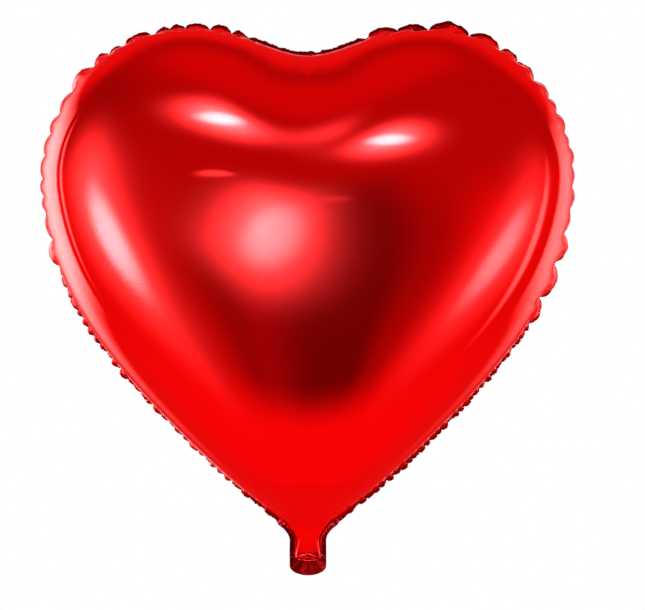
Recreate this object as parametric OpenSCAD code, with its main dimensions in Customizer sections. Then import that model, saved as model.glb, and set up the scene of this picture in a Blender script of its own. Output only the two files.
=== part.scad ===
// Heart-shaped foil balloon, inflated, without its ribbon.
//
// Two heart-shaped panels of metallised film are sealed to each other along a narrow margin, and
// the gas swells them into two domes. At the bottom the panels run on into a flat tail. A valve of
// two thin films lies in the tail and reaches up into the gas, which presses it shut.
//
// X runs to the right, Z up, and the front panel faces -Y. The origin is in the middle of the
// tail, where a ribbon is tied round it. The two panels meet in the plane Y = 0.

/* [Heart, inflated] */
// Overall width
heart_w = 380; // [260:5:460]
// Thickness of the swollen heart, front to back
heart_d = 216; // [120:4:256]
// Height of the two lobes' crowns over the tie
crown_z = 371; // [300:1:450]
// Distance of each crown from the centre line
crown_x = 82; // [50:1:110]
// Depth of the valley between the crowns
valley_depth = 21; // [5:1:60]
// Height of the widest place over the tie
widest_z = 257; // [190:1:290]
// How far the flank stays upright under the widest place
flank_upper = 90; // [50:1:120]
// How far the flank runs straight up from the neck
flank_lower = 100; // [50:1:130]
// Slope of the flank where it leaves the neck, in degrees
flank_slope = 41; // [35:1:50]

/* [Tail] */
// Width of the flat tail
tail_w = 26; // [20:1:34]
// Height over the tie at which the tail's straight sides end
root_z = 4; // [1:1:10]
// Size of the blend from the flank into the tail
neck_r = 12; // [6:1:20]
// From the tie down to the edge of the front panel, where the balloon is filled
mouth_drop = 8; // [7:1:16]
// How far the back panel's tab reaches past that edge
tab_l = 12; // [8:1:24]
// Height of the tab's rounded end
tab_round = 7; // [3:1:8]

/* [Seal and film] */
// Width of the sealed margin round the heart
seal_w = 4.5; // [3:0.5:6]
// Thickness of a panel, more than the real film's so that it is a sound solid
film_t = 0.5; // [0.3:0.1:1]
// Thickness of the gas channel through the neck
channel_d = 9; // [5:0.5:12]

/* [Valve] */
// Room on each side of the valve, between it and the panels
valve_gap = 0.5; // [0.3:0.1:2]
// Thickness of one valve film
valve_t = 0.2; // [0.1:0.05:0.4]
// Length of the valve, from the mouth up into the gas
valve_l = 110; // [60:5:150]
// Height of the band at the mouth where the valve is welded to the panels
weld_l = 3; // [2:0.5:4]
// Room between the valve and the panels above that band
valve_clear = 0.15; // [0.1:0.05:0.4]

/* [Hidden] */

// Points along each stretch of the outline, from the valley down to the tail's end
VALLEY_N = 10;
SHOULDER_N = 18;
FLANK_N = 22;
NECK_N = 6;
TAIL_N = 4;
END_N = 6;
// Rings between a dome's middle and its seal
RINGS = 9;
// Height of the slanting corner between the tail's side seal and the open mouth
CORNER = 0.6;
// How square the dome's section is, where 2 is an ellipse
DOME_POWER = 2.2;
// The spine is the line up the middle of a dome that its rings shrink to
SPINE_TOP = 0.66;
SPINE_MID = 0.57;
SPINE_POWER = 0.62;
// How quickly the dome swells above the neck, where 1 is slowest
SWELL_POWER = 0.7;

half_w = heart_w / 2;
tail_x = tail_w / 2;
foot_x = tail_x - seal_w;
valve_x = foot_x - film_t - valve_gap;
mouth_z = -mouth_drop;
tab_z = mouth_z - tab_l;
foot_z = mouth_z + weld_l;
spine_mid_z = SPINE_MID * crown_z;
spine_top_z = SPINE_TOP * crown_z;

function mix(a, b, t) = a + (b - a) * t;
function steps(n) = [for (i = [0:n - 1]) i / n];
function bezier(p, t) =
    pow(1 - t, 3) * p[0]
    + 3 * pow(1 - t, 2) * t * p[1]
    + 3 * (1 - t) * t * t * p[2]
    + pow(t, 3) * p[3];

// The right half of the heart's edge as [x, z], from the valley down to the top of the tail
slope = [cos(flank_slope), sin(flank_slope)];
neck_top = [tail_x + 0.67 * neck_r, root_z + neck_r];
flank_curve = [
    [half_w, widest_z],
    [half_w, widest_z - flank_upper],
    neck_top + flank_lower * slope,
    neck_top,
];
neck_curve = [
    neck_top,
    neck_top - 0.5 * neck_r * slope,
    [tail_x, root_z + 0.5 * neck_r],
    [tail_x, root_z],
];
heart_side = concat(
    [for (t = steps(VALLEY_N)) [crown_x * t, crown_z - valley_depth * (1 + cos(180 * t)) / 2]],
    [
        for (t = steps(SHOULDER_N))
            [mix(crown_x, half_w, sin(90 * t)), mix(widest_z, crown_z, cos(90 * t))]
    ],
    [for (t = steps(FLANK_N)) bezier(flank_curve, t)],
    [for (t = steps(NECK_N)) bezier(neck_curve, t)]
);

// A unit step from a point of that edge towards the inside of the heart
function inward(i) =
    let (
        last = len(heart_side) - 1,
        before = i == 0 ? [-heart_side[1][0], heart_side[1][1]] : heart_side[i - 1],
        after = i == last ? [tail_x, root_z] : heart_side[i + 1],
        along = after - before
    )
    [along[1], -along[0]] / norm(along);

// The whole right half, moved inwards. The dome stands on it from the seal's width inwards.
function inset(d) = concat(
    [for (i = [0:len(heart_side) - 1]) heart_side[i] + d * inward(i)],
    [for (i = [0:TAIL_N]) [tail_x - d, mix(root_z, foot_z + d - seal_w + CORNER, i / TAIL_N)]],
    [
        for (i = [1:END_N])
            [(valve_x + valve_gap / 2) * (END_N - i) / (END_N - 1), foot_z + d - seal_w]
    ]
);

// The panels' cut edge down the tail, and its end: straight on the front, a round tab on the back
tail_side = [for (i = [0:TAIL_N]) [tail_x, mix(root_z, mouth_z, i / TAIL_N)]];
straight_end = [for (i = [1:END_N]) [tail_x * (1 - i / END_N), mouth_z]];
tab_end = [
    for (i = [1:END_N])
        let (a = 90 * (i - 1) / (END_N - 1))
        [tail_x * cos(a), tab_z + tab_round * (1 - sin(a))]
];

// Heights of the spine that the same points shrink to
spine_z = concat(
    [for (t = steps(VALLEY_N + SHOULDER_N)) mix(spine_top_z, spine_mid_z, t)],
    [for (t = steps(FLANK_N)) mix(root_z + neck_r, spine_mid_z, pow(1 - t, 1 / SPINE_POWER))],
    [for (t = steps(NECK_N)) mix(root_z + neck_r, root_z, t)],
    [for (i = [0:TAIL_N]) mix(root_z, foot_z + 3, i / TAIL_N)],
    [for (i = [1:END_N]) foot_z + 3 - 2 * i / END_N]
);
half_n = len(spine_z);
ring_n = 2 * half_n - 2;
end_from = half_n - END_N;

// How far a panel's outer face stands off the seal's plane on the spine
mouth_y = valve_t + valve_clear + film_t;
function swell(z) =
    z < root_z
    ? mix(mouth_y, channel_d / 2, (z - foot_z) / (root_z - foot_z))
    : let (t = min(1, (z - root_z) / (spine_mid_z - root_z)))
      mix(channel_d, heart_d, sin(90 * pow(t, SWELL_POWER))) / 2;

// The left half mirrors the right one, and a spine's two halves are the same points
function fold(k) = k < half_n ? k : ring_n - k;
function across(p, k) = k < half_n ? p : [-p[0], p[1], p[2]];

// One row of points round the panel: where they stand, and how far off the seal's plane
function row(flat, y) = [
    for (k = [0:ring_n - 1])
        let (i = fold(k))
        across([flat[i][0], y[i], flat[i][1]], k)
];
function level(side_y, end_y) = [for (i = [0:half_n - 1]) i < end_from ? side_y : end_y];
function spine_row(y) = [for (i = [0:half_n - 1]) [0, y[i], spine_z[i]]];

// The rings of a dome, from next to the spine out to next to its foot
function dome(foot, base, top) = [
    for (j = [1:RINGS - 1])
        let (
            a = 90 * j / RINGS,
            s = pow(sin(a), 2 / DOME_POWER),
            flat = [for (i = [0:half_n - 1]) mix([0, spine_z[i]], foot[i], s)]
        )
        row(flat, [for (i = [0:half_n - 1]) mix(base[i], top[i], cos(a))])
];

// A panel is one skin: the dome's outer face, the margin round it, and the dome's inner face
module panel(end_edge) {
    edge = concat(heart_side, tail_side, end_edge);
    foot = inset(seal_w);
    inner_foot = inset(seal_w + film_t);
    under = level(0, valve_t);
    over = level(film_t, valve_t + film_t);
    step = level(valve_t + valve_clear, valve_t + valve_clear);
    top = [for (z = spine_z) swell(z)];
    inner_top = [for (y = top) y - film_t];
    rings = concat(
        dome(foot, over, top),
        [row(foot, over), row(edge, over), row(edge, under)],
        [row(inner_foot, under), row(inner_foot, step)],
        reverse(dome(inner_foot, step, inner_top))
    );
    points = concat(spine_row(top), [for (r = rings) each r], spine_row(inner_top));
    last = len(rings) + 1;
    faces = [
        for (r = [0:last - 1])
            for (k = [0:ring_n - 1])
                let (
                    a = place(r, k, last),
                    b = place(r, k + 1, last),
                    c = place(r + 1, k + 1, last),
                    d = place(r + 1, k, last)
                )
                each [[a, b, c], [a, c, d]]
    ];
    polyhedron(points = points, faces = faces);
}

function reverse(list) = [for (i = [len(list) - 1:-1:0]) list[i]];
function place(r, k, last) =
    let (m = k % ring_n)
    r == 0 ? fold(m) : half_n + (r - 1) * ring_n + (r == last ? fold(m) : m);

module valve_film() {
    translate([-valve_x, 0, mouth_z])
        cube([2 * valve_x, valve_t, valve_l]);
}

// Front panel, whose tail is cut straight across at the mouth
module front_foil() {
    color("red")
        mirror([0, 1, 0])
            panel(straight_end);
}

// Back panel, whose tail runs on past the mouth as a tab
module back_foil() {
    color("firebrick")
        panel(tab_end);
}

// The valve's film that is welded to the front panel at the mouth
module valve_front_film() {
    color("white")
        mirror([0, 1, 0])
            valve_film();
}

// The valve's film that is welded to the back panel at the mouth
module valve_back_film() {
    color("lightgrey")
        valve_film();
}

front_foil();
back_foil();
valve_front_film();
valve_back_film();
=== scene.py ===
"""Heart-shaped foil balloon, filled with gas, without its ribbon.

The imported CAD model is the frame. Both foils are swollen again here from the flat heart that
they are cut to, and take the place of the CAD ones. The valve's films keep their CAD shape.
Sizes are in metres. X runs to the right, Z up, and the front faces -Y.
"""

import bpy
import numpy as np
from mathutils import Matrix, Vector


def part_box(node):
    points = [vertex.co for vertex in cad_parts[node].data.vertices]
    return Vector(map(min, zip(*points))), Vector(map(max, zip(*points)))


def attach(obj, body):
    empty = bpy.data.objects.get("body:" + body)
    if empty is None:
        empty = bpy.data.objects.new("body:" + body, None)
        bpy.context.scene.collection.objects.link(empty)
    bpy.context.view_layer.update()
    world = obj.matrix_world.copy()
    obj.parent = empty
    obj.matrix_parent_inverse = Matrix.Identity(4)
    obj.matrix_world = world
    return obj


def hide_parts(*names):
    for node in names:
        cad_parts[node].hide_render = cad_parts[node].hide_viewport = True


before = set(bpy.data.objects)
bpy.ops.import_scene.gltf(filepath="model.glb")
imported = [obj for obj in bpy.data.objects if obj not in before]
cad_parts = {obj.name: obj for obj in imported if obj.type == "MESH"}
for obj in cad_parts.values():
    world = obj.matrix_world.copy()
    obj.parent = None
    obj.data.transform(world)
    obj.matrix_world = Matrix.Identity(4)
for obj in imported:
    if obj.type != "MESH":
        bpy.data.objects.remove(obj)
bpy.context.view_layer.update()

# ---------------------------------------------------------------------------------------------
# Camera. A long lens straight in front of the heart, level with its middle, so that the outline
# shows almost without perspective.
CAMERA_AWAY = 2.8
VIEW_WIDTH = 0.4567

lens = bpy.data.cameras.new("long_lens")
lens.sensor_width = 36
lens.lens = lens.sensor_width * CAMERA_AWAY / VIEW_WIDTH
lens.clip_end = 200
camera = bpy.data.objects.new("camera", lens)
camera.location = (0.0103, -CAMERA_AWAY, 0.1716)
camera.rotation_euler = (np.pi / 2, 0, 0)
bpy.context.scene.collection.objects.link(camera)
bpy.context.scene.camera = camera
bpy.context.scene.view_settings.view_transform = "Standard"

# ---------------------------------------------------------------------------------------------
# The swollen heart. Two flat hearts of film are sealed edge to edge and filled with gas. Film
# hardly stretches, but it gathers into puckers at no cost, so the seam draws in by a fifth.
# One quarter is worked out, front right, because the others mirror it. The flat heart's sizes
# are what it is cut to, and the spine is the line up the middle that its rows start from.
FLAT_HALF_W = 0.2410
FLAT_WIDEST_Z = 0.2574
FLAT_CROWN = (0.0892, 0.4174)
FLAT_VALLEY_Z = 0.4075
LOBE_POWER = 1.943
FLANK_UPPER, FLANK_LOWER, FLANK_SLOPE = 0.102, 0.157, 23.4
FLAT_CHANNEL_HALF_W = 0.0095
ROOT_Z, ROOT_R, FLAT_MOUTH_Z = -0.0369, 0.014, -0.046
SPINE_TOP, SPINE_MID = 0.345, 0.235


def smooth(t):
    """An S-shaped rise from 0 to 1 while t goes from 0 to 1, flat at both ends."""
    t = np.clip(t, 0, 1)
    return t * t * (3 - 2 * t)


def mix(a, b, t):
    """The point a fraction t of the way from a to b."""
    return a + (b - a) * t


def bezier(corners, t):
    """Cubic Bezier curve through the first and last of four corners, at fractions t."""
    a, b, c, d = (np.asarray(p, float) for p in corners)
    t = t[:, None]
    return (1 - t) ** 3 * a + 3 * (1 - t) ** 2 * t * b + 3 * (1 - t) * t * t * c + t**3 * d


def flat_edge(n):
    """The flat heart's right edge as n + 1 evenly spaced points, valley to middle of the mouth.

    A cosine valley, a superellipse shoulder, a Bezier flank, a small Bezier into the tail, the
    tail's straight side, and the mouth straight across.
    """
    t = np.linspace(0, 1, 200, endpoint=False)
    crown_x, crown_z = FLAT_CROWN
    rise = (1 - np.cos(np.pi * t)) / 2
    valley = np.c_[crown_x * t, mix(FLAT_VALLEY_Z, crown_z, rise)]
    a = np.pi / 2 * (1 - t)
    shoulder = np.c_[
        mix(crown_x, FLAT_HALF_W, np.cos(a) ** (2 / LOBE_POWER)),
        mix(FLAT_WIDEST_Z, crown_z, np.sin(a) ** (2 / LOBE_POWER)),
    ]
    slope = np.array([np.cos(np.radians(FLANK_SLOPE)), np.sin(np.radians(FLANK_SLOPE))])
    neck = np.array([FLAT_CHANNEL_HALF_W + ROOT_R, ROOT_Z + 0.7 * ROOT_R])
    widest = [FLAT_HALF_W, FLAT_WIDEST_Z]
    upper = [FLAT_HALF_W, FLAT_WIDEST_Z - FLANK_UPPER]
    flank = bezier([widest, upper, neck + FLANK_LOWER * slope, neck], t)
    root = [FLAT_CHANNEL_HALF_W, ROOT_Z - 0.7 * ROOT_R]
    over_root = [FLAT_CHANNEL_HALF_W, ROOT_Z - 0.1 * ROOT_R]
    bend = bezier([neck, neck - 0.5 * ROOT_R * slope, over_root, root], t[::5])
    end = np.array([root, [FLAT_CHANNEL_HALF_W, FLAT_MOUTH_Z], [0, FLAT_MOUTH_Z]])
    edge = np.vstack([valley, shoulder, flank, bend, end])
    run = np.r_[0, np.cumsum(np.linalg.norm(np.diff(edge, axis=0), axis=1))]
    n_side = n - max(3, round(n * (run[-1] - run[-2]) / run[-1]))
    at = np.r_[
        np.linspace(0, run[-2], n_side, endpoint=False),
        np.linspace(run[-2], run[-1], n - n_side + 1),
    ]
    return np.c_[np.interp(at, run, edge[:, 0]), np.interp(at, run, edge[:, 1])]


def flat_film(n, m):
    """The flat quarter as a grid of [x, z]: row 0 on the spine up the middle, row m on the seam."""
    edge = flat_edge(n)
    widest = np.argmax(edge[:, 0])
    spine = np.empty(n + 1)
    spine[:widest] = np.linspace(SPINE_TOP, SPINE_MID, widest, endpoint=False)
    share = (edge[widest:, 1] - edge[-1, 1]) / (edge[widest, 1] - edge[-1, 1])
    spine[widest:] = mix(FLAT_MOUTH_Z + 0.004, SPINE_MID, np.clip(share, 0, 1) ** 0.8)
    spine = np.minimum.accumulate(spine - np.arange(n + 1) * 1e-5)
    spine = np.c_[np.zeros(n + 1), spine]
    out = np.linspace(0, 1, m + 1)[:, None, None] ** 0.9
    return spine + (edge - spine) * out


def swell(flat, steps=1500, step=1 / 1500, push=4.0, keep=0.992):
    """The grid's points once the gas has filled it.

    Each step moves the points by the pressure on their cells, then pulls every thread of the
    grid (across, along and on both diagonals) back to its flat length if it is longer. Threads
    never push, so spare film gathers. The spine and both middle columns stay at x = 0, and the
    seam at y = 0. The push is the gas's, and keep is the share of its speed that a point keeps
    from one step to the next.
    """
    x = np.zeros(flat.shape[:2] + (3,))
    x[..., 0], x[..., 2] = flat[..., 0], flat[..., 1]
    x[:-1, :, 1] = -0.002
    down, up = flat[1:, 1:] - flat[:-1, :-1], flat[1:, :-1] - flat[:-1, 1:]
    cell = np.abs(down[..., 0] * up[..., 1] - down[..., 1] * up[..., 0]) / 8
    mass = np.zeros(flat.shape[:2])
    corners = [np.s_[:-1, :-1], np.s_[1:, :-1], np.s_[:-1, 1:], np.s_[1:, 1:]]
    for corner in corners:
        mass[corner] += cell
    light = 1 / np.maximum(mass, 0.15 * mass.mean())
    threads = []
    for k in (0, 1):
        pairs = [
            (np.s_[:, k:-1:2], np.s_[:, k + 1 :: 2]),
            (np.s_[k:-1:2, :], np.s_[k + 1 :: 2, :]),
            (np.s_[k:-1:2, :-1], np.s_[k + 1 :: 2, 1:]),
            (np.s_[k:-1:2, 1:], np.s_[k + 1 :: 2, :-1]),
        ]
        for a, b in pairs:
            length = np.linalg.norm(flat[a] - flat[b], axis=-1)
            share = light[a] / (light[a] + light[b])
            threads.append((a, b, length, share[..., None]))
    pressed = smooth((flat[..., 1] - FLAT_MOUTH_Z - 0.003) / 0.02)
    force = (push * pressed * light * step)[..., None]
    speed = np.zeros_like(x)
    for _ in range(steps):
        area = np.cross(x[1:, 1:] - x[:-1, :-1], x[1:, :-1] - x[:-1, 1:]) / 8
        load = np.zeros_like(x)
        for corner in corners:
            load[corner] += area
        before = x.copy()
        speed = speed * keep + load * force
        x = x + speed * step
        for a, b, length, share in threads:
            gap = x[a] - x[b]
            now = np.sqrt((gap * gap).sum(-1))
            gap *= (np.maximum(now - length, 0) / np.maximum(now, 1e-9))[..., None]
            x[a] -= share * gap
            x[b] += (1 - share) * gap
        x[0, :, 0] = x[:, 0, 0] = x[:, -1, 0] = 0
        x[-1, :, 1] = 0
        speed = (x - before) / step
    return x


COARSE_N, COARSE_M = 120, 30
flat = flat_film(COARSE_N, COARSE_M)
quarter = swell(flat)


def ironed(x, round_passes=10, row_passes=4):
    """The swollen quarter with its small kinks averaged away, first along rows, then across.

    Each pass replaces a point by a quarter, a half and a quarter of itself and its neighbours.
    Past the middle and past the seam the neighbours are the mirrored points.
    """
    for _ in range(round_passes):
        past_start, past_end = x[:, 1:2] * [-1, 1, 1], x[:, -2:-1] * [-1, 1, 1]
        wide = np.concatenate([past_start, x, past_end], axis=1)
        x = (wide[:, :-2] + 2 * x + wide[:, 2:]) / 4
    for _ in range(row_passes):
        tall = np.concatenate([x[1:2] * [-1, 1, 1], x, x[-2:-1] * [1, -1, 1]])
        x = (tall[:-2] + 2 * x + tall[2:]) / 4
    return x


quarter = ironed(quarter)

# The CAD model's box sets the finished size. The margin stands out by this much at the sides and
# the crowns. The height is drawn in a little, so that the flanks meet the tail at the right place.
low, high = (np.array(p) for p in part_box("back_foil"))
mouth_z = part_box("front_foil")[0][2]
SIDE_MARGIN, TOP_MARGIN = 0.0012, 0.0038
HEIGHT_SHARE = 0.985
quarter[..., 0] *= (high[0] - SIDE_MARGIN) / quarter[..., 0].max()
quarter[..., 1] *= high[1] / -quarter[..., 1].min()
below_top = quarter[..., 2].max() - quarter[..., 2]
quarter[..., 2] = high[2] - TOP_MARGIN - HEIGHT_SHARE * below_top

# How much longer the flat seam is than the swollen one, as a share: the spare film
seam = quarter[-1]
seam_step = np.linalg.norm(np.diff(seam, axis=0), axis=1)
flat_step = np.linalg.norm(np.diff(flat[-1], axis=0), axis=1)
spare = np.clip(flat_step / np.maximum(seam_step, 1e-6) - 1, 0, 0.5)
spare = np.convolve(np.pad(spare, 4, mode="edge"), np.ones(9) / 9, "valid")
seam_run = np.r_[0, np.cumsum(seam_step)]

# ---------------------------------------------------------------------------------------------
# The puckers along the rim. Where the seam has drawn in, the spare film stands up in pillows
# between sharp creases. They are broad on the lobes, small teeth on the straight flanks, and
# there are none in the valley, where the seam is pulled tight.
VALLEY_RUN = 0.045
TAIL_RUN = seam_run[-1] - 0.034
PILLOWS, TEETH, STEADY = 17, 32, 5
CUTS_PILLOW, CUTS_TOOTH = 18, 10  # columns across each


def creases(seed, widths, teeth_from):
    """Where one side's creases lie along its seam, and how strong each pillow and crease is."""
    rng = np.random.default_rng(seed)
    pillow = np.interp(np.linspace(0, 1, PILLOWS), [0, 0.25, 0.5, 0.8, 1], widths)
    pillow = pillow * rng.uniform(0.68, 1.32, PILLOWS)
    tooth = rng.uniform(0.7, 1.3, TEETH)
    place = np.r_[
        np.linspace(0, VALLEY_RUN, STEADY, endpoint=False),
        VALLEY_RUN + (teeth_from - VALLEY_RUN) * np.r_[0, np.cumsum(pillow)[:-1]] / pillow.sum(),
        teeth_from + (TAIL_RUN - teeth_from) * np.r_[0, np.cumsum(tooth)] / tooth.sum(),
    ]
    n = len(place) - 1
    high = rng.uniform(0.75, 1.2, n)
    deep = rng.uniform(0.6, 1.35, n + 1)
    reach = np.where(place < teeth_from - 0.001, 1, 0.5) * rng.uniform(0.75, 1.3, n + 1)
    return place, high, deep, reach


def side_columns(seed, widths, teeth_from):
    """One side's columns: their run along the seam, and each column's pillow and crease.

    Columns crowd together next to a crease, by a cosine, so that it stays sharp.
    """
    place, high, deep, reach = creases(seed, widths, teeth_from)
    cuts = np.where(np.arange(len(high)) < STEADY + PILLOWS, CUTS_PILLOW, CUTS_TOOTH)
    cuts[:STEADY] = CUTS_TOOTH
    which = np.repeat(np.arange(len(high)), cuts)
    first = np.r_[0, np.cumsum(cuts)[:-1]][which]
    t = 0.5 - 0.5 * np.cos(np.pi * (np.arange(len(which)) - first) / cuts[which])
    run = mix(place[which], place[which + 1], t)
    pitch = np.diff(place)
    size = np.sqrt(np.interp(place, seam_run, np.r_[spare, spare[-1]])) / np.pi
    size = size * smooth((place - 0.03) / 0.03) * smooth((place[-1] - place) / 0.02 + 0.15)
    pillow = high * pitch * (size[1:] + size[:-1]) / 2
    crease_size = np.r_[pitch[0], (pitch[1:] + pitch[:-1]) / 2, pitch[-1]] * size * deep
    crease = mix(crease_size[which], crease_size[which + 1], t)
    far = mix(reach[which], reach[which + 1], t)
    tail = np.linspace(place[-1], seam_run[-1], TAIL_COLUMNS + 1)
    still = np.zeros(len(tail))
    return {
        "run": np.r_[run, tail],
        "t": np.r_[t, still],
        "pillow": np.r_[pillow[which], still],
        "crease": np.r_[crease, still],
        "reach": np.r_[far, still + far[-1]],
    }


TAIL_COLUMNS = 44  # down the tail, past the last crease
right = side_columns(3, (0.024, 0.017, 0.011, 0.014, 0.019), teeth_from=0.36)
left = side_columns(11, (0.017, 0.018, 0.020, 0.016, 0.019), teeth_from=0.315)
PER_SIDE = len(right["run"]) - 1


def round_ring(a, b):
    """A value per column of the whole ring: down the right side, and up the left one."""
    return np.concatenate([a, b[-2:0:-1]])


ring = {k: round_ring(right[k], left[k]) for k in right}
on_right = round_ring(np.ones(PER_SIDE + 1), np.zeros(PER_SIDE + 1)) > 0.5


def spline_weights(t):
    """The four weights of a uniform cubic B-spline at fraction t of a step."""
    return (
        (1 - t) ** 3 / 6,
        (3 * t**3 - 6 * t**2 + 4) / 6,
        (1 + 3 * t + 3 * t**2 - 3 * t**3) / 6,
        t**3 / 6,
    )


# The fine grid's rows, crowded towards the seam, with one past it
ROWS = 50
across = COARSE_M * (1 - (np.arange(ROWS + 1) / ROWS) ** 1.6)[::-1]
across = np.r_[across, COARSE_M + (COARSE_M - across[-2])]


def swollen_ring():
    """The smooth swollen front on the fine grid, spine to seam and one row past it.

    The quarter is mirrored to a closed ring of columns and carried on past the spine and past
    the seam. Then a cubic B-spline takes its points along the rows and round the columns.
    """
    mirror = quarter[:, -2:0:-1] * [-1, 1, 1]
    whole = np.concatenate([quarter, mirror], axis=1)
    n = whole.shape[1]
    over_spine = whole[2:0:-1][:, (-np.arange(n)) % n]
    over_seam = whole[-2:-5:-1] * [1, -1, 1]
    tall = np.concatenate([over_spine, whole, over_seam])
    base = np.floor(across).astype(int)
    share = (across - base)[:, None, None]
    rows = sum(w * tall[base + 1 + i] for i, w in enumerate(spline_weights(share)))
    even = np.linspace(0, seam_run[-1], PER_SIDE + 1)
    seam_share = smooth(across / COARSE_M * 1.4)[:, None]
    column_run = mix(round_ring(even, even), ring["run"], seam_share)
    columns = np.interp(column_run, seam_run, np.arange(COARSE_N + 1))
    columns = np.where(on_right, columns, n - columns)
    base = np.floor(columns).astype(int)
    share = (columns - base)[..., None]
    k = np.arange(len(rows))[:, None]
    return sum(w * rows[k, (base - 1 + i) % n] for i, w in enumerate(spline_weights(share)))


# Each point's normal, and how far in from the seam it lies along the film
body = swollen_ring()
along, out = np.gradient(body, axis=1), np.gradient(body, axis=0)
along[:, 0] = body[:, 1] - body[:, -1]
along[:, -1] = body[:, 0] - body[:, -2]
normal = np.cross(out, along)
normal /= np.maximum(np.linalg.norm(normal, axis=2, keepdims=True), 1e-12)
normal *= np.sign((normal[ROWS // 2, :, 1] < 0).mean() - 0.5)
body, normal = body[:-1], normal[:-1]
inward = np.linalg.norm(np.diff(body, axis=0), axis=2)
inward = np.vstack([np.cumsum(inward[::-1], axis=0)[::-1], np.zeros(body.shape[1])])

PILLOW_REACH = 0.0105
SHARP_FOR = 0.009
STRENGTH = 0.80


def puckered(seed):
    """The swollen front with its puckers, each point moved along its normal.

    A pillow is a power of a sine between two creases: nearly a half circle at the seam, and a
    full soft wave further in. Pillows and creases fade away from the seam.
    """
    rng = np.random.default_rng(seed)
    phase = rng.uniform(0, 2 * np.pi, 4)
    reach = PILLOW_REACH * ring["reach"]
    for k in range(4):
        reach = reach * (1 + 0.08 * np.sin(ring["run"] * (90 + 70 * k) + phase[k]))
    fade = np.exp(-((inward / reach) ** 1.4))
    power = mix(0.5, 2, smooth(inward / (SHARP_FOR * (0.4 + 0.6 * ring["reach"]))))
    hump = np.sin(np.pi * np.clip(ring["t"], 0, 1)) ** power
    move = STRENGTH * fade * (2.0 * ring["pillow"] * hump - 1.25 * ring["crease"])
    return body + normal * move[..., None]


# ---------------------------------------------------------------------------------------------
# The sealed margin. Outside the seam the two films are one flat strip 4.5 mm wide. It has no gas
# to hold it, so it folds back behind the pillows and crinkles. Down the tail it lies flat.
MARGIN_W = 0.0045
MARGIN_ROWS = 5
TAIL_HALF_W = 0.013
FILM_HALF = 0.00006

edge_out = normal[-1]


def ripple(seed, lengths):
    """A sum of sine waves round the ring, one for each wave length, between -1 and 1."""
    rng = np.random.default_rng(seed)
    run = np.where(on_right, ring["run"], -ring["run"])
    waves = [np.sin(2 * np.pi * run / w + rng.uniform(0, 2 * np.pi)) for w in lengths]
    return sum(waves) / len(lengths)


# How far the margin folds back, in degrees, at marks along the seam from the valley to the mouth
run = ring["run"]
marks = [0, 0.05, 0.09, 0.14, 0.20, 0.29, 0.35, 0.42, 0.50, 0.54, seam_run[-1]]
fold_back = np.where(
    on_right,
    np.interp(run, marks, [52, 56, 36, 62, 90, 86, 66, 60, 48, 46, 0]),
    np.interp(run, marks, [52, 56, 56, 66, 92, 92, 60, 68, 76, 56, 0]),
)
shows = np.clip((92 - fold_back) / 30, 0, 1)  # 0 where the pillows hide the margin
fold_back = np.radians(fold_back + 12 * shows * ripple(5, [0.031, 0.017, 0.011, 0.0071]))
fold_back = np.where(run > TAIL_RUN + 0.01, 0, fold_back)
BACK = np.array([0, 1, 0])
level, steep = np.cos(fold_back)[:, None], np.sin(fold_back)[:, None]
edge_way = edge_out * level + BACK * steep
edge_face = edge_out * steep - BACK * level
crinkle = 0.0004 * ripple(7, [0.0043, 0.0031, 0.0023]) + 0.0005 * ripple(8, [0.013, 0.009])
crinkle = crinkle * mix(0.2, 1, shows)


# ---------------------------------------------------------------------------------------------
# The tail. The foils run on as a flat strip round a narrow channel. The front one is cut
# straight across at the mouth, and the back one runs on as a rounded tab.
TAB_ROUND = 0.007
LEAN_BACK = 0.12
CHANNEL_HALF_W = 0.0086
TAIL_L, TAIL_BLEND = 0.024, 0.012
FRONT_BOW, EDGE_BOW = 0.0006, 0.0008  # how far the front stands off the valve at the mouth
LIP = 0.0006  # from the channel's open end down to the cut edge
tail_start = seam_run[-1] - TAIL_L
off_corner = np.abs(flat[-1] - [FLAT_CHANNEL_HALF_W, FLAT_MOUTH_Z]).sum(-1)
corner_run = seam_run[np.argmax(off_corner < 1e-9)]
side_share = np.clip((run - tail_start) / (corner_run - tail_start), 0, 1)
end_share = np.clip((run - corner_run) / (seam_run[-1] - corner_run), 0, 1)
into_tail = smooth((run - tail_start) / TAIL_BLEND)
at_mouth = smooth(end_share * 7)
sign = np.where(on_right, 1.0, -1.0)
out_share = (across[:-1] / COARSE_M)[:, None]


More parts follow.
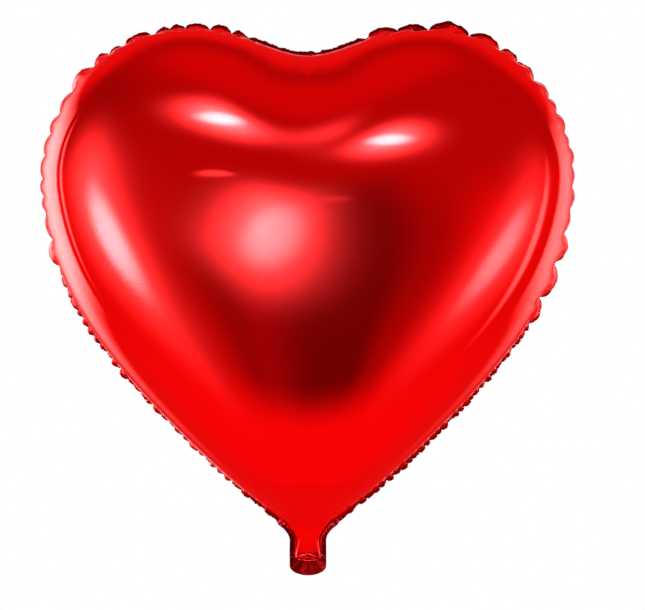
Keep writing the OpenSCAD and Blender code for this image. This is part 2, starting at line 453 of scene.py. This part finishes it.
def with_tail(skin, tab):
    """The skin with its lowest columns laid over the channel, and the margin's rows added.

    The channel is a flattened tube from the neck to the mouth, and its thickness fades to almost
    nothing at the mouth. The margin's rows run evenly from the seam to the cut edge, and are
    moved square to the strip by the crinkle.
    """
    start_x, start_z = (np.interp(tail_start, seam_run, quarter[-1, :, k]) for k in (0, 2))
    start_spine = np.interp(tail_start, seam_run, quarter[0, :, 2])
    seam_z = mix(start_z, mouth_z + LIP, side_share)
    seam_x = mix(start_x, CHANNEL_HALF_W, smooth(side_share * 1.8)) * (1 - end_share)
    spine_z = mix(start_spine, mouth_z + 0.004, side_share) - 0.002 * end_share
    z = mix(spine_z, seam_z, out_share)
    x = sign * seam_x * out_share
    gas = np.interp(z, quarter[0, ::-1, 2], -quarter[0, ::-1, 1])
    channel = np.interp(z - mouth_z, [0, 0.0035, 0.1], [0.0008, 0.0013, 0.046])
    high = mix(channel, gas, smooth((z - 0.006) / 0.02))
    y = -high * np.clip(1 - out_share**3, 0, 1) ** 0.5 - FRONT_BOW * at_mouth
    tube = np.stack([x, y, z], axis=-1)
    skin = mix(skin, tube, into_tail[:, None])
    if tab:
        skin = skin * [1, -1, 1]
    # The cut edge: round the heart, down the tail's side, and across its end
    heart_edge = skin[-1] + MARGIN_W * edge_way
    side_z = seam_z - LIP * side_share
    if tab:
        drop = np.clip(end_share / 0.25, 0, 1)
        turn = np.pi / 2 * np.clip((end_share - 0.25) / 0.75, 0, 1)
        end_z = mix(mouth_z, low[2] + TAB_ROUND, drop) - TAB_ROUND * np.sin(turn)
        end_x = TAIL_HALF_W * np.cos(turn)
    else:
        end_x = TAIL_HALF_W * (1 - end_share)
        end_z = mouth_z + np.zeros_like(run)
    tail_x = np.where(end_share > 0, end_x, TAIL_HALF_W)
    tail_z = np.where(end_share > 0, end_z, side_z)
    tail_y = LEAN_BACK * (mouth_z - tail_z) if tab else -EDGE_BOW * at_mouth
    tail_edge = np.stack([sign * tail_x, tail_y, tail_z], axis=-1)
    edge = mix(heart_edge, tail_edge, into_tail[:, None])
    steps = (np.arange(1, MARGIN_ROWS + 1) / MARGIN_ROWS)[:, None, None]
    margin = mix(skin[-1], edge, steps)
    flatness = mix(1.0, mix(0.35, 0.9, smooth(end_share * 3)), into_tail)
    lift = crinkle * flatness * np.sqrt(steps[..., 0])
    margin = margin + edge_face * lift[..., None]
    margin = margin + edge_face * FILM_HALF * (-1 if tab else 1)
    return np.concatenate([skin, margin])


def foil(name, seed, tab):
    """One panel as a mesh object of the grid's cells, with its puckers, margin and tail.

    The spine's two sides share their points. A point attribute is 1 on the margin, and less on
    the tab, which keeps more of its shine. It dulls and knurls the film there, and darkens its
    base colour as painted shade.
    """
    skin = with_tail(puckered(seed), tab)
    rows, n = skin.shape[:2]
    half = PER_SIDE
    fold = np.where(np.arange(n) <= half, np.arange(n), n - np.arange(n))
    index = np.vstack([fold, half + 1 + np.arange((rows - 1) * n).reshape(rows - 1, n)])
    spine = (skin[0, : half + 1] + skin[0, (-np.arange(half + 1)) % n]) / 2
    spine[:, 0] = 0
    points = np.vstack([spine, skin[1:].reshape(-1, 3)])
    a, b = index[:-1], np.roll(index, -1, axis=1)[:-1]
    c, d = np.roll(index, -1, axis=1)[1:], index[1:]
    cells = np.stack([a, b, c, d], axis=-1).reshape(-1, 4)
    if tab:
        cells = cells[:, ::-1]
    mesh = bpy.data.meshes.new(name)
    mesh.from_pydata(points.tolist(), [], cells.tolist())
    mesh.validate()
    mesh.polygons.foreach_set("use_smooth", np.ones(len(mesh.polygons), bool))
    sealed = np.zeros((rows, n))
    sealed[-MARGIN_ROWS:] = mix(1, 0.4, smooth(end_share * 4)) if tab else 1
    sealed = np.r_[np.zeros(half + 1), sealed[1:].ravel()]
    layer = mesh.attributes.new("sealed", "FLOAT", "POINT")
    layer.data.foreach_set("value", sealed.astype(np.float32))
    piece = bpy.data.objects.new(name, mesh)
    bpy.context.scene.collection.objects.link(piece)
    return piece


front = foil("front_panel", 21, tab=False)
back = foil("back_panel", 22, tab=True)


# ---------------------------------------------------------------------------------------------
# The red foil of both panels. It is thin clear film with a mirror of metal laid on it as vapour,
# and translucent red printed over that. The sealed margin is dull, and knurled by the heated bar
# that welded it. Its base colour is darkened there as painted shade, less on the tab.
class Socket:
    """An output socket, so that shader maths reads as plain arithmetic."""

    def __init__(self, tree, socket):
        self.tree, self.socket = tree, socket

    def maths(self, operation, other=None, swap=False):
        node = self.tree.nodes.new("ShaderNodeMath")
        node.operation = operation
        values = [self, other] if other is not None else [self]
        for slot, value in zip(node.inputs, values[::-1] if swap else values):
            if isinstance(value, Socket):
                self.tree.links.new(value.socket, slot)
            else:
                slot.default_value = value
        return Socket(self.tree, node.outputs[0])

    def __add__(self, other):
        return self.maths("ADD", other)

    def __sub__(self, other):
        return self.maths("SUBTRACT", other)

    def __rsub__(self, other):
        return self.maths("SUBTRACT", other, swap=True)

    def __mul__(self, other):
        return self.maths("MULTIPLY", other)

    def __pow__(self, other):
        return self.maths("POWER", other)

    __radd__, __rmul__ = __add__, __mul__


class Nodes:
    """A node tree, with one method that adds any node."""

    def __init__(self, tree):
        self.tree = tree

    def node(self, kind, output=0, settings=None, places=None, **values):
        """A new node's output. Its inputs are named, or given by their places."""
        node = self.tree.nodes.new("ShaderNode" + kind)
        for key, value in (settings or {}).items():
            if key == "stops":
                for stop, (place, shade) in zip(node.color_ramp.elements, value):
                    stop.position, stop.color = place, shade
            else:
                setattr(node, key, value)
        named = {key.replace("_", " "): value for key, value in values.items()}
        for key, value in {**named, **(places or {})}.items():
            if isinstance(value, Socket):
                self.tree.links.new(value.socket, node.inputs[key])
            else:
                node.inputs[key].default_value = value
        return Socket(self.tree, node.outputs[output])


class Finish(Nodes):
    """A new material, with its shader's constants set."""

    def __init__(self, name, constants):
        self.material = bpy.data.materials.new(name)
        self.material.use_nodes = True
        super().__init__(self.material.node_tree)
        self.shader = self.tree.nodes["Principled BSDF"]
        for key, value in constants.items():
            self.shader.inputs[key].default_value = value

    def drive(self, key, value):
        self.tree.links.new(value.socket, self.shader.inputs[key])


RED = (0.88, 0.0004, 0.0005, 1)
# The margin's darker red is painted shade, not the seal's own colour
SHADED_MARGIN_RED = (0.11, 0.0002, 0.0004, 1)
red_foil = Finish(
    "red_foil",
    {
        "Metallic": 1.0,
        "IOR": 1.5,
        "Specular Tint": (0.9, 0.002, 0.004, 1),
        "Coat Roughness": 0.04,
        "Coat IOR": 1.5,
    },
)
place = red_foil.node("TexCoord", output=3)
# The margin mask dulls and knurls the seal, and darkens its base colour as painted shade
sealed = red_foil.node("Attribute", output=2, settings={"attribute_name": "sealed"})
clouds = red_foil.node("TexNoise", Vector=place, Scale=14.0, Detail=3.0)
grain = red_foil.node("TexNoise", Vector=place, Scale=900.0, Detail=2.0)
knurl = red_foil.node("TexVoronoi", Vector=place, Scale=420.0)
# Base colour: the printed red, darkened towards the painted-shade red on the margin and tab
colour = red_foil.node(
    "Mix", output=2, settings={"data_type": "RGBA"}, places={0: 0.9 * sealed, 6: RED, 7: SHADED_MARGIN_RED}
)
red_foil.drive("Base Color", colour)
crumple = red_foil.node("TexVoronoi", Vector=place, Scale=210.0)
red_foil.drive("Coat Weight", 0.02 - 0.016 * sealed)
red_foil.drive("Roughness", 0.055 + 0.02 * clouds + 0.11 * sealed)
height = 0.00022 * clouds + 0.000004 * grain
height = height + sealed * (0.0005 * crumple + 0.00014 * knurl)
red_foil.drive("Normal", red_foil.node("Bump", Height=height, Strength=0.5, Distance=1.0))

# The area a panel is cut from: twice the area between the right half's edge and the middle line,
# with the margin's strip
edge_x, edge_z = flat[-1, :, 0], flat[-1, :, 1]
flat_area = -np.sum((edge_x[1:] + edge_x[:-1]) * np.diff(edge_z))
flat_area = flat_area + 2 * MARGIN_W * flat_step.sum()
for piece, node, tab in ((front, "front_foil", 0), (back, "back_foil", mouth_z - low[2])):
    piece.data.materials.append(red_foil.material)
    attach(piece, "root")
    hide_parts(node)

# ---------------------------------------------------------------------------------------------
# The valve. Two strips of thin milky film lie face to face inside the tail. The gas presses them
# shut once the balloon is full.
milky = Finish("valve_film", {"Roughness": 0.35, "IOR": 1.5, "Metallic": 0.0})
haze = milky.node("TexNoise", Vector=milky.node("TexCoord", output=3), Scale=160.0, Detail=3.0)
tone = milky.node(
    "ValToRGB",
    settings={"stops": [(0.3, (0.72, 0.72, 0.72, 1)), (0.7, (0.9, 0.9, 0.88, 1))]},
    Fac=haze,
)
milky.drive("Base Color", tone)
for name in ("valve_front_film", "valve_back_film"):
    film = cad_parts[name]
    film.data.materials.clear()
    film.data.materials.append(milky.material)

# ---------------------------------------------------------------------------------------------
# The studio. A plain pale floor well below the balloon, plain white all round to the camera, and
# soft boxes. What the foil mirrors is the room: white behind and below, dim round the camera.
FLOOR_Z, FLOOR_R = -0.42, 3.0


def disc(name, radius, height, n=64):
    """A level round mesh: one ring of points, from the cosine and sine of even turns."""
    turn = np.linspace(0, 2 * np.pi, n, endpoint=False)
    points = np.c_[radius * np.cos(turn), radius * np.sin(turn), np.full(n, height)]
    mesh = bpy.data.meshes.new(name)
    mesh.from_pydata(points.tolist(), [], [list(range(n))])
    made = bpy.data.objects.new(name, mesh)
    bpy.context.scene.collection.objects.link(made)
    return made


floor = disc("floor", FLOOR_R, FLOOR_Z)
pale = Finish("pale_floor", {"Roughness": 0.9, "Specular IOR Level": 0})
pale.shader.inputs["Base Color"].default_value = (0.8, 0.8, 0.8, 1)
floor.data.materials.append(pale.material)
floor.visible_glossy = False

# The world is only there to be mirrored. It lights nothing matt, and a lamp overhead does that.
world = bpy.data.worlds.new("studio")
bpy.context.scene.world = world
world.use_nodes = True
world.cycles_visibility.diffuse = False
studio = Nodes(world.node_tree)
towards = studio.node("TexCoord")
to_x, to_y, to_z = (studio.node("SeparateXYZ", output=i, Vector=towards) for i in range(3))
DEGREES = 180 / np.pi
turned = to_x.maths("ARCTAN2", to_y * -1) * DEGREES
raised = to_z.maths("ARCSINE") * DEGREES
sideways = turned.maths("ABSOLUTE")


def rise(value, start, end):
    """An S-shaped rise from 0 to 1 of a value between start and end."""
    kind = {"interpolation_type": "SMOOTHSTEP"}
    return studio.node("MapRange", settings=kind, Value=value, From_Min=start, From_Max=end)


def soft_box(power, turn, lift, long, thin, lean=0, edge=1):
    """A light that fades as a bell curve, steeper with a higher edge. Angles are in degrees.

    Its middle is turn degrees right of the front and lift degrees up. Its long axis leans that
    many degrees from level. The bell is e to minus the squared distance, in its own half sizes.
    """
    over, up = (turned - turn) * np.cos(np.radians(lift)), raised - lift
    c, s = np.cos(np.radians(lean)), np.sin(np.radians(lean))
    a, b = (over * c + up * s) * (1 / long), (up * c - over * s) * (1 / thin)
    return power * Socket.maths(-1 * (a * a + b * b) ** edge, "EXPONENT")


# The room itself. It is dimmest a little right of the camera, lighter to both sides, half bright
# above, and as bright as paper below and behind.
dim = 0.19 + 0.20 * rise(turned, 4, -18) + 0.20 * rise(turned, -20, -46)
dim = dim + 0.30 * rise(turned, -48, -66) - 0.10 * soft_box(1, -27, 0, 9, 40)
dim = dim + 0.24 * rise(turned, 18, 34) + 0.45 * rise(turned, 32, 54)
above = 0.52 + 0.20 * rise(raised, 60, 82) - 0.16 * soft_box(1, -88, 42, 26, 18)
room = mix(above, dim, rise(raised, 21, 2))
room = mix(room, 1.06, rise(raised - 0.1 * sideways, -34, -57))
room = mix(room, 0.95, rise(sideways, 112, 140) * rise(raised, 62, 40))

lights = sum(
    [
        # Two boxes overhead, each a bright middle in a wide glow
        soft_box(520, -22, 50, 8, 3.4, 36, 2),
        soft_box(250, -22, 50, 9, 7.5, 36),
        soft_box(520, 21, 36, 7.5, 3, -31, 2),
        soft_box(230, 21, 36, 8.5, 6.8, -31),
        # A round one beside the camera, and two narrow strips above it
        soft_box(130, -9, 1, 8, 3.6, 8, 2),
        soft_box(190, -11, 2, 8, 4.6, 0, 0.65),
        soft_box(34, -26, 15, 5, 1.2, 0, 2),
        soft_box(8, 7, 6.5, 4, 0.8, 0, 2),
        # Tall ones to the left
        soft_box(330, -69, -7, 15, 10, 109, 2),
        soft_box(120, -72, -4, 20, 15, 109),
        soft_box(110, -107.5, 2, 1.8, 19, 0, 2),
        # Tall ones to the right
        soft_box(120, 71, -12, 15, 8, 52, 2),
        soft_box(60, 74, -10, 18, 13, 52),
        soft_box(110, 97, -11, 3.5, 18, 0, 2),
    ]
)
# Two lit walls behind the balloon, one on each side
left_wall = rise(turned, -113, -117) * rise(turned, -162, -124) * rise(raised, 30, 12)
right_wall = rise(turned, 114, 120) * rise(turned, 162, 124) * rise(raised, 24, 6)
lights = lights + (200 * left_wall + 80 * right_wall) * rise(raised, -28, -12)

# The boxes' light is cool, with little red in it. The camera itself sees plain white all round.
RED_SHARE = 0.04
to_camera = studio.node("LightPath")
warm = mix(room + RED_SHARE * lights, 1.0, to_camera)
cool = mix(room + lights, 1.0, to_camera)
tint = studio.node("CombineXYZ", X=warm, Y=cool, Z=cool)
studio.tree.links.new(tint.socket, studio.tree.nodes["Background"].inputs["Color"])

# A broad lamp over the floor and the milky films, which the foil doesn't mirror
lamp = bpy.data.lights.new("overhead", "AREA")
lamp.shape, lamp.size, lamp.energy = "DISK", 5.0, 230
overhead = bpy.data.objects.new("overhead", lamp)
overhead.location = (0, 0, 2.6)
bpy.context.scene.collection.objects.link(overhead)
overhead.visible_camera = overhead.visible_glossy = False
